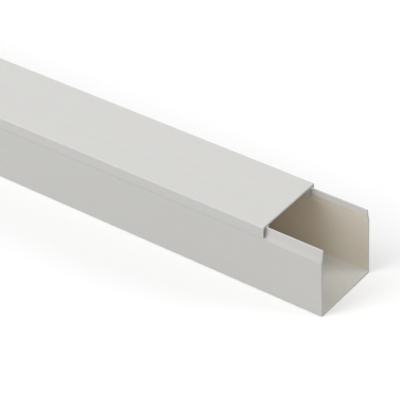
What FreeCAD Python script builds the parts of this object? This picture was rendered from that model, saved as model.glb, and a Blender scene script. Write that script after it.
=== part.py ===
import FreeCAD, Part
import math
import os

# Two-piece square cable trunking: an extruded channel and the cover that snaps over its walls.
# X runs along the stock, Y across it, Z up from the wall face. All sizes are in millimetres.
# The origin is the middle of the channel's underside.

# Cut lengths, and how far the cover's end stands back from the channel's open end
channel_length = 1000.0
cover_length = 1000.0
cover_setback = 31.7

# Channel section
channel_width = 40.0
wall_height = 38.6
floor_thickness = 1.2
wall_thickness = 1.0
lip_height = 4.0
lip_lean = 0.6
lip_thickness = 0.65
shoulder_rise = 2.7
shoulder_inset = 0.75
catch_drop = 3.45
catch_reach = 0.2
catch_lead_in_height = 1.9
ledge_slope_drop = 0.35
ledge_wall_thickness = 1.0
inner_step_drop = 1.2
heel_radius = 0.6
inside_corner_radius = 0.5
shoulder_radius = 0.8
lip_foot_radius = 4.0
inner_step_radius = 1.0
ledge_radius = 0.12
lip_edge_radius = 0.25

# Cover section
cover_plate_thickness = 1.0
cover_overhang = 0.8
flange_thickness = 1.05
leg_thickness = 1.25
barb_reach = 0.35
barb_lead_in_height = 2.2
barb_foot_setback = 0.5
cover_edge_radius = 0.8
flange_foot_radius = 0.3
cover_root_radius = 0.3
barb_tip_radius = 0.15

# Running clearances of the snap fit
seat_clearance = 0.1
leg_clearance = 0.1
catch_clearance = 0.2
flange_foot_clearance = 0.5


def unit_vector(start, end):
    """Direction in the section plane from one corner to another."""
    reach = math.hypot(end[0] - start[0], end[1] - start[1])
    return (end[0] - start[0]) / reach, (end[1] - start[1]) / reach


def rounded_corner(before, corner, after):
    """Start, middle and end of the arc that rounds a corner (y, z, radius) of an outline."""
    y, z, radius = corner
    to_before = unit_vector(corner, before)
    to_after = unit_vector(corner, after)
    half_angle = math.acos(to_before[0] * to_after[0] + to_before[1] * to_after[1]) / 2
    setback = radius / math.tan(half_angle)
    inward = unit_vector((0, 0), (to_before[0] + to_after[0], to_before[1] + to_after[1]))
    middle_reach = radius / math.sin(half_angle) - radius
    start = (y + to_before[0] * setback, z + to_before[1] * setback)
    middle = (y + inward[0] * middle_reach, z + inward[1] * middle_reach)
    end = (y + to_after[0] * setback, z + to_after[1] * setback)
    return start, middle, end


def extruded_section(half_outline, x_start, length):
    """Solid of a section that is symmetrical about Y = 0, drawn from its half with Y > 0."""
    mirrored = [(-y, z, radius) for y, z, radius in reversed(half_outline)]
    corners = half_outline + mirrored
    count = len(corners)
    arcs = []
    for index in range(count):
        arcs.append(rounded_corner(corners[index - 1], corners[index], corners[(index + 1) % count]))
    edges = []
    for index in range(count):
        start, middle, end = [FreeCAD.Vector(x_start, y, z) for y, z in arcs[index]]
        next_y, next_z = arcs[(index + 1) % count][0]
        edges.append(Part.Arc(start, middle, end).toShape())
        edges.append(Part.makeLine(end, FreeCAD.Vector(x_start, next_y, next_z)))
    face = Part.Face(Part.Wire(edges))
    return face.extrude(FreeCAD.Vector(length, 0, 0))


# Faces and heights of the channel that the cover is fitted to
outer_face = channel_width / 2
inner_face = outer_face - wall_thickness
lip_foot_face = outer_face - shoulder_inset
lip_top_face = lip_foot_face - lip_lean
lip_inner_face = lip_top_face - lip_thickness
catch_face = lip_inner_face - catch_reach
ledge_root_face = lip_foot_face - ledge_wall_thickness
shoulder_top = wall_height - lip_height
shoulder_foot = shoulder_top - shoulder_rise
catch_edge = wall_height - catch_drop


def shoulder_z(y):
    """Height of the sloped outer shoulder at a distance y from the middle."""
    return shoulder_foot + shoulder_rise * (outer_face - y) / shoulder_inset


def ledge_z(y):
    """Height of the inner catch ledge at a distance y from the middle."""
    return catch_edge - ledge_slope_drop * (y - catch_face) / (ledge_root_face - catch_face)


def base_channel():
    """Channel whose walls step inwards to a leaning lip, with a small catch inside each lip."""
    half_outline = [
        (outer_face, 0.0, heel_radius),
        (outer_face, shoulder_foot, shoulder_radius),
        (lip_foot_face, shoulder_top, lip_foot_radius),
        (lip_top_face, wall_height, lip_edge_radius),
        (lip_inner_face, wall_height, lip_edge_radius),
        (lip_inner_face, catch_edge + catch_lead_in_height, inner_step_radius),
        (catch_face, catch_edge, ledge_radius),
        (ledge_root_face, catch_edge - ledge_slope_drop, ledge_radius),
        (inner_face, shoulder_foot - inner_step_drop, inner_step_radius),
        (inner_face, floor_thickness, inside_corner_radius),
    ]
    return extruded_section(half_outline, -channel_length / 2, channel_length)


def snap_cover():
    """Cover plate with outer flanges over the lips and barbed legs that hook under the ledges."""
    plate_underside = wall_height + seat_clearance
    plate_top = plate_underside + cover_plate_thickness
    flange_outer_face = outer_face + cover_overhang
    flange_inner_face = flange_outer_face - flange_thickness
    flange_foot = shoulder_z(flange_inner_face) + flange_foot_clearance
    leg_outer_face = catch_face - leg_clearance
    leg_inner_face = leg_outer_face - leg_thickness
    barb_tip = leg_outer_face + barb_reach
    barb_tip_z = ledge_z(barb_tip) - catch_clearance
    leg_foot = barb_tip_z - barb_lead_in_height
    half_outline = [
        (flange_outer_face, plate_top, cover_edge_radius),
        (flange_outer_face, flange_foot, flange_foot_radius),
        (flange_inner_face, flange_foot, flange_foot_radius),
        (flange_inner_face, plate_underside, cover_root_radius),
        (leg_outer_face, plate_underside, cover_root_radius),
        (leg_outer_face, ledge_z(leg_outer_face) - catch_clearance, barb_tip_radius),
        (barb_tip, barb_tip_z, barb_tip_radius),
        (leg_outer_face - barb_foot_setback, leg_foot, barb_tip_radius),
        (leg_inner_face, leg_foot, barb_tip_radius),
        (leg_inner_face, plate_underside, cover_root_radius),
    ]
    cover_start = channel_length / 2 - cover_setback - cover_length
    return extruded_section(half_outline, cover_start, cover_length)


os.makedirs("parts", exist_ok=True)
for name, make in (("base_channel", base_channel), ("snap_cover", snap_cover)):
    solid = make()
    box = solid.BoundBox
    print(name, solid.ShapeType, "valid", solid.isValid(), "volume", round(solid.Volume, 1))
    print("  x", box.XMin, box.XMax, "y", box.YMin, box.YMax, "z", box.ZMin, box.ZMax)
    solid.exportStep("parts/" + name + ".step")
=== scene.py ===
import math

import bmesh
import bpy
from mathutils import Matrix, Vector


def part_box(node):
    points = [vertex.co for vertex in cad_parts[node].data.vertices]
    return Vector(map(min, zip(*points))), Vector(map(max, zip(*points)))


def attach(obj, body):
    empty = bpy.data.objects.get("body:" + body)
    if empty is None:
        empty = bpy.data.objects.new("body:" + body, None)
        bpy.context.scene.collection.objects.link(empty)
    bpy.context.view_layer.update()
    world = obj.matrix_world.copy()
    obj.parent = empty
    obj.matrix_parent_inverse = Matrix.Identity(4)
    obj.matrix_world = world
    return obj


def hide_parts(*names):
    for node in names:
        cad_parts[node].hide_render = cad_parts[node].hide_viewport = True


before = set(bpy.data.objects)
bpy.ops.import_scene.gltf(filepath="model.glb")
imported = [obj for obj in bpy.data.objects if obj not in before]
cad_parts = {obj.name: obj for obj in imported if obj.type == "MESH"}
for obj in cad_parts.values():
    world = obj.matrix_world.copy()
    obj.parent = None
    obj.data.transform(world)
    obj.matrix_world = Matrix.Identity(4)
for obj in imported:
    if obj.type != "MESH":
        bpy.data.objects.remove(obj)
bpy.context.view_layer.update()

millimetre = 0.001


# Node tree helpers

def freshMaterial(name):
    material = bpy.data.materials.new(name)
    material.use_nodes = True
    material.node_tree.nodes.clear()
    return material, material.node_tree


def addNode(tree, kind, settings=None, values=None):
    node = tree.nodes.new(kind)
    for key, value in (settings or {}).items():
        setattr(node, key, value)
    for key, value in (values or {}).items():
        node.inputs[key].default_value = value
    return node


def feed(tree, socket, value):
    # a number or a color is set on the socket, another node's output is linked to it
    if isinstance(value, (int, float, tuple)):
        socket.default_value = value
    else:
        tree.links.new(value, socket)


def mathNode(tree, operation, first, second):
    node = addNode(tree, "ShaderNodeMath", {"operation": operation})
    feed(tree, node.inputs[0], first)
    feed(tree, node.inputs[1], second)
    return node.outputs[0]


def blendValues(tree, factor, first, second):
    node = addNode(tree, "ShaderNodeMix")
    feed(tree, node.inputs[0], factor)
    feed(tree, node.inputs[2], first)
    feed(tree, node.inputs[3], second)
    return node.outputs[0]


def blendColors(tree, factor, first, second):
    # the color sockets of a Mix node come after those for values and vectors
    node = addNode(tree, "ShaderNodeMix", {"data_type": "RGBA"})
    feed(tree, node.inputs[0], factor)
    feed(tree, node.inputs[6], first)
    feed(tree, node.inputs[7], second)
    return node.outputs[2]


def rescale(tree, value, fromRange, toRange):
    node = addNode(tree, "ShaderNodeMapRange", values={
        "From Min": fromRange[0], "From Max": fromRange[1],
        "To Min": toRange[0], "To Max": toRange[1]})
    tree.links.new(value, node.inputs["Value"])
    return node.outputs["Result"]


# Extruded plastic with sawn ends

channelPlastic = {
    "color": (0.70, 0.694, 0.672, 1.0),
    "streakColor": (0.686, 0.680, 0.658, 1.0),
    # painted warm glow and shade of the light bounced about inside the channel, laid on the inner faces
    "insidePaintedGlow": (0.735, 0.70, 0.62, 1.0),
    # painted light on the faces that slope down under the catch, lifting the shade they fall in
    "ledgePaintedShading": (0.83, 0.79, 0.712, 1.0),
    "levelFaceLooks": 1,      # up, from the floor of the channel
    "levelPaintedGlowShare": 0.35,      # how much of the painted warm glow and shade that face has
    # painted shade on the sawn ends, darker for how the light falls on them; their roughness and saw
    # marks are their own
    "sawnPaintedShade": (0.45, 0.442, 0.425, 1.0),
    "roughness": (0.40, 0.52),
    "sawnRoughness": 0.8,
    "shift": (0.0, 0.0, 0.0),
}
coverPlastic = {
    "color": (0.71, 0.704, 0.684, 1.0),
    "streakColor": (0.697, 0.691, 0.671, 1.0),
    # painted warm glow and shade of the light under the plate, laid on the inner faces
    "insidePaintedGlow": (0.76, 0.64, 0.46, 1.0),
    # the cover's ledges carry the same painted warm shade as its inner faces
    "ledgePaintedShading": (0.76, 0.64, 0.46, 1.0),
    "levelFaceLooks": -1,     # down, from the underside of the plate
    "levelPaintedGlowShare": 1.0,
    # painted shade on the sawn ends, as on the channel
    "sawnPaintedShade": (0.45, 0.442, 0.425, 1.0),
    "roughness": (0.38, 0.50),
    "sawnRoughness": 0.8,
    "shift": (3.7, 1.3, 5.1),
}
extrusionFinish = {
    "drawLine": (0.6, 0.0005, 0.0005),     # a die line's length and width
    "drawLineDetail": 2.0,
    "drawLineRelief": 0.12,                # beside that of the saw marks, which is 1
    "flowStreak": (0.35, 0.004, 0.004),
    "flowStreakDetail": 3.0,
    "flowStreakShare": 0.65,
    "cloud": (0.05, 0.02, 0.02),
    "cloudDetail": 2.0,
    "cloudShare": 0.35,
    "sawStep": (0.02, 0.0003, 0.004),
    "sawStepDetail": 4.0,
    "grainRoughness": 0.55,
    "toneRange": (0.35, 0.65),             # the part of the grain that the colors are spread over
    "sheenRange": (0.3, 0.7),
    "reliefStrength": 0.35,
    "reliefHeight": 0.1 * millimetre,
    "translucency": (0.08, 0.42),          # of the outer faces and of the inner ones
    "bleedRadius": (1.0, 0.62, 0.15),
    "bleedDistance": 2.0 * millimetre,
    "ior": 1.53,
}


def grain(tree, coords, kind, shift):
    # noise whose grains are about as long as the finish says, in metres along each axis
    mapping = addNode(tree, "ShaderNodeMapping", values={
        "Location": shift, "Scale": [1.0 / length for length in extrusionFinish[kind]]})
    tree.links.new(coords, mapping.inputs["Vector"])
    noise = addNode(tree, "ShaderNodeTexNoise", values={
        "Scale": 1.0, "Detail": extrusionFinish[kind + "Detail"],
        "Roughness": extrusionFinish["grainRoughness"]})
    tree.links.new(mapping.outputs["Vector"], noise.inputs["Vector"])
    return noise.outputs["Fac"]


def plasticMaterial(name, plastic):
    finish = extrusionFinish
    material, tree = freshMaterial(name)
    link = tree.links.new
    coords = addNode(tree, "ShaderNodeTexCoord").outputs["Object"]
    flow, cloud, lines, saw = [grain(tree, coords, kind, plastic["shift"])
                               for kind in ("flowStreak", "cloud", "drawLine", "sawStep")]
    sawn, inside, ledge = [addNode(tree, "ShaderNodeAttribute", {"attribute_name": mark}).outputs["Fac"]
                           for mark in ("sawn", "inside", "ledge")]

    tone = mathNode(tree, "ADD", mathNode(tree, "MULTIPLY", flow, finish["flowStreakShare"]),
                    mathNode(tree, "MULTIPLY", cloud, finish["cloudShare"]))
    shade = blendColors(tree, rescale(tree, tone, finish["toneRange"], (0.0, 1.0)),
                        plastic["color"], plastic["streakColor"])
    # the painted glow and shade inside, the painted shading on the ledges and the painted shade on the
    # sawn ends go over the streaked plastic color
    for mark, color in ((inside, "insidePaintedGlow"), (ledge, "ledgePaintedShading"), (sawn, "sawnPaintedShade")):
        shade = blendColors(tree, mark, shade, plastic[color])
    surface = addNode(tree, "ShaderNodeBsdfPrincipled", values={
        "IOR": finish["ior"], "Subsurface Radius": finish["bleedRadius"],
        "Subsurface Scale": finish["bleedDistance"]})
    link(rescale(tree, inside, (0.0, 1.0), finish["translucency"]), surface.inputs["Subsurface Weight"])
    link(shade, surface.inputs["Base Color"])

    satin = rescale(tree, flow, finish["sheenRange"], plastic["roughness"])
    link(blendValues(tree, sawn, satin, plastic["sawnRoughness"]), surface.inputs["Roughness"])

    dieLines = mathNode(tree, "MULTIPLY", lines, finish["drawLineRelief"])
    bump = addNode(tree, "ShaderNodeBump", values={
        "Strength": finish["reliefStrength"], "Distance": finish["reliefHeight"]})
    link(blendValues(tree, sawn, dieLines, saw), bump.inputs["Height"])
    link(bump.outputs["Normal"], surface.inputs["Normal"])

    output = addNode(tree, "ShaderNodeOutputMaterial")
    link(surface.outputs[0], output.inputs["Surface"])
    return material


# Each extrusion is dressed from a merged copy of its solid, with the saw's fine edge on both ends

cutEdge = {
    "width": 0.08 * millimetre,
    "segments": 2,
    "merge": 0.001 * millimetre,
    "flatAngle": math.radians(0.2),
    "creaseAngle": math.radians(35),
}
cableSpace = {
    "bottom": 0.5 * millimetre,
    "top": 34.9 * millimetre,
    "halfWidth": 17 * millimetre,
    "squareness": 0.9,        # how far a cut end has to look along the stock
    "facing": 0.5,            # how far an inner face has to look into the cable space
    "ledgeSlope": 0.1,
}


def markFaces(mesh, plastic):
    # sawn is 1 on the cut ends, inside is 1 on the faces that look into the cable space,
    # ledge is 1 on those of them that slope down under the catch
    space = cableSpace
    for mark in ("sawn", "inside", "ledge"):
        mesh.attributes.new(mark, "FLOAT", "FACE")
    for face in mesh.polygons:
        normal, center = face.normal, face.center
        inward = normal.y * center.y < -space["facing"] * abs(center.y) and center.z < space["top"]
        level = normal.z * plastic["levelFaceLooks"] > space["facing"]
        level = level and abs(center.y) < space["halfWidth"] and center.z > space["bottom"]
        marks = {
            "sawn": float(abs(normal.x) > space["squareness"]),
            # inner faces get all of the painted glow and shade, level faces only their share of it
            "inside": 1.0 if inward else plastic["levelPaintedGlowShare"] * level,
            # the ledge mark carries painted light on the channel and painted warm shade on the cover
            "ledge": float(inward and normal.z < -space["ledgeSlope"]),
        }
        for mark, value in marks.items():
            mesh.attributes[mark].data[face.index].value = value


def dressExtrusion(name, node, body, plastic):
    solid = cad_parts[node]
    low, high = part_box(node)
    bm = bmesh.new()
    bm.from_mesh(solid.data)
    bmesh.ops.remove_doubles(bm, verts=bm.verts, dist=cutEdge["merge"])
    bmesh.ops.dissolve_limit(bm, angle_limit=cutEdge["flatAngle"], verts=bm.verts, edges=bm.edges)
    rims = []
    for edge in bm.edges:
        atEnd = all(min(abs(vert.co.x - low[0]), abs(vert.co.x - high[0])) < cutEdge["merge"]
                    for vert in edge.verts)
        if atEnd and edge.calc_face_angle(0.0) > cutEdge["creaseAngle"]:
            rims.append(edge)
    bmesh.ops.bevel(bm, geom=rims, affect="EDGES", offset=cutEdge["width"],
                    segments=cutEdge["segments"], profile=0.5, material=-1)
    mesh = bpy.data.meshes.new(name)
    bm.to_mesh(mesh)
    bm.free()
    mesh.polygons.foreach_set("use_smooth", [True] * len(mesh.polygons))
    mesh.set_sharp_from_angle(angle=cutEdge["creaseAngle"])
    piece = bpy.data.objects.new(name, mesh)
    bpy.context.scene.collection.objects.link(piece)
    normals = piece.modifiers.new("evenShading", "WEIGHTED_NORMAL")
    normals.keep_sharp = True
    markFaces(mesh, plastic)
    mesh.materials.append(plasticMaterial(name + "Plastic", plastic))
    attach(piece, body)
    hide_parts(node)
    print("dressed", name, len(mesh.polygons), "faces", len(rims), "rim edges")


dressExtrusion("baseChannel", "base_channel", "channel", channelPlastic)
dressExtrusion("snapCover", "snap_cover", "cover", coverPlastic)


# Floor, light and camera

studio = {
    "floorSize": 40.0,
    "floorColor": (1.0, 1.0, 1.0, 1.0),
    "floorBounce": (0.36, 0.36, 0.36, 1.0),      # the floor's color as a source of light
    "floorLift": 0.13,
    "skyColor": (1.0, 1.0, 1.0, 1.0),
    "skyLight": 0.47,
    "frontPlace": (-0.7, -1.4, 0.5),
    "frontAim": (0.3, 0.0, 0.02),
    "frontSize": (1.0, 0.8),
    "frontPower": 7.2,
    "sideFrom": (0.85, 0.5, 0.32),
    "sideStrength": 1.55,
    "highFrom": (-0.41, -0.71, 0.6),
    "highStrength": 0.6,
    "steepFrom": (-0.2, -0.4, 0.9),
    "steepStrength": 0.54,
    "lampSpread": math.radians(30),
    "lampColor": (1.0, 1.0, 1.0),
}


def seenDirectly(tree):
    # 1 for what the camera, a reflection or a clear surface looks at, 0 for what lights the object
    path = addNode(tree, "ShaderNodeLightPath")
    direct = mathNode(tree, "MAXIMUM", path.outputs["Is Camera Ray"], path.outputs["Is Glossy Ray"])
    return mathNode(tree, "MAXIMUM", direct, path.outputs["Is Transmission Ray"])


def floorMaterial():
    material, tree = freshMaterial("paleFloor")
    link = tree.links.new
    looked = addNode(tree, "ShaderNodeBsdfDiffuse", values={"Color": studio["floorColor"]})
    lift = addNode(tree, "ShaderNodeEmission", values={"Strength": studio["floorLift"]})
    bright = addNode(tree, "ShaderNodeAddShader")
    link(looked.outputs[0], bright.inputs[0])
    link(lift.outputs[0], bright.inputs[1])
    bounce = addNode(tree, "ShaderNodeBsdfDiffuse", values={"Color": studio["floorBounce"]})
    choose = addNode(tree, "ShaderNodeMixShader")
    link(seenDirectly(tree), choose.inputs[0])
    link(bounce.outputs[0], choose.inputs[1])
    link(bright.outputs[0], choose.inputs[2])
    output = addNode(tree, "ShaderNodeOutputMaterial")
    link(choose.outputs[0], output.inputs["Surface"])
    return material


def makeFloor():
    bm = bmesh.new()
    bmesh.ops.create_grid(bm, x_segments=1, y_segments=1, size=studio["floorSize"] / 2)
    mesh = bpy.data.meshes.new("floor")
    bm.to_mesh(mesh)
    bm.free()
    floor = bpy.data.objects.new("floor", mesh)
    bpy.context.scene.collection.objects.link(floor)
    mesh.materials.append(floorMaterial())


def makeSky():
    world = bpy.data.worlds.new("studioSky")
    bpy.context.scene.world = world
    world.use_nodes = True
    tree = world.node_tree
    tree.nodes.clear()
    sky = addNode(tree, "ShaderNodeBackground", values={"Color": studio["skyColor"]})
    tree.links.new(rescale(tree, seenDirectly(tree), (0.0, 1.0), (studio["skyLight"], 1.0)),
                   sky.inputs["Strength"])
    output = addNode(tree, "ShaderNodeOutputWorld")
    tree.links.new(sky.outputs[0], output.inputs["Surface"])


def hangLight(name, data, towards):
    # a light shines against its own Z axis, so that axis is turned towards where it stands
    data.color = studio["lampColor"]
    light = bpy.data.objects.new(name, data)
    light.rotation_mode = "QUATERNION"
    light.rotation_quaternion = towards.to_track_quat("Z", "Y")
    bpy.context.scene.collection.objects.link(light)
    return light


def makePanel(name):
    place = Vector(studio[name + "Place"])
    data = bpy.data.lights.new(name + "Panel", "AREA")
    data.shape = "RECTANGLE"
    data.size, data.size_y = studio[name + "Size"]
    data.energy = studio[name + "Power"]
    panel = hangLight(name + "Panel", data, place - Vector(studio[name + "Aim"]))
    panel.location = place


def makeLamp(name):
    data = bpy.data.lights.new(name + "Lamp", "SUN")
    data.energy = studio[name + "Strength"]
    data.angle = studio["lampSpread"]
    hangLight(name + "Lamp", data, Vector(studio[name + "From"]))


cameraView = {
    "lens": 182.447,
    "turn": math.radians(50.927),
    "tilt": math.radians(37.085),
    "roll": math.radians(-3.384),
    "distance": 942.98 * millimetre,
    "aimHeight": 20.0 * millimetre,
    "right": -67.772 * millimetre,
    "up": 28.574 * millimetre,
    "sensor": 36.0,
    "clipStart": 10.0 * millimetre,
}


def makeCamera():
    # looks along the turn and tilt at the open end of the channel, then steps aside by right and up
    view = cameraView
    turn, tilt, roll = view["turn"], view["tilt"], view["roll"]
    ahead = Vector((-math.cos(turn) * math.cos(tilt), math.sin(turn) * math.cos(tilt), -math.sin(tilt)))
    level = ahead.cross(Vector((0, 0, 1))).normalized()
    upright = level.cross(ahead)
    right = math.cos(roll) * level + math.sin(roll) * upright
    up = math.cos(roll) * upright - math.sin(roll) * level
    openEnd = Vector((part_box("base_channel")[1][0], 0, view["aimHeight"]))
    place = openEnd - ahead * view["distance"] + right * view["right"] + up * view["up"]
    data = bpy.data.cameras.new("camera")
    data.lens = view["lens"]
    data.sensor_width = view["sensor"]
    data.clip_start = view["clipStart"]
    camera = bpy.data.objects.new("camera", data)
    camera.matrix_world = Matrix((right, up, -ahead)).transposed().to_4x4()
    camera.location = place
    bpy.context.scene.collection.objects.link(camera)
    bpy.context.scene.camera = camera


makeFloor()
makeSky()
makePanel("front")
for name in ("side", "high", "steep"):
    makeLamp(name)
makeCamera()
bpy.context.scene.view_settings.view_transform = "Standard"
print("set up floor, light and camera")
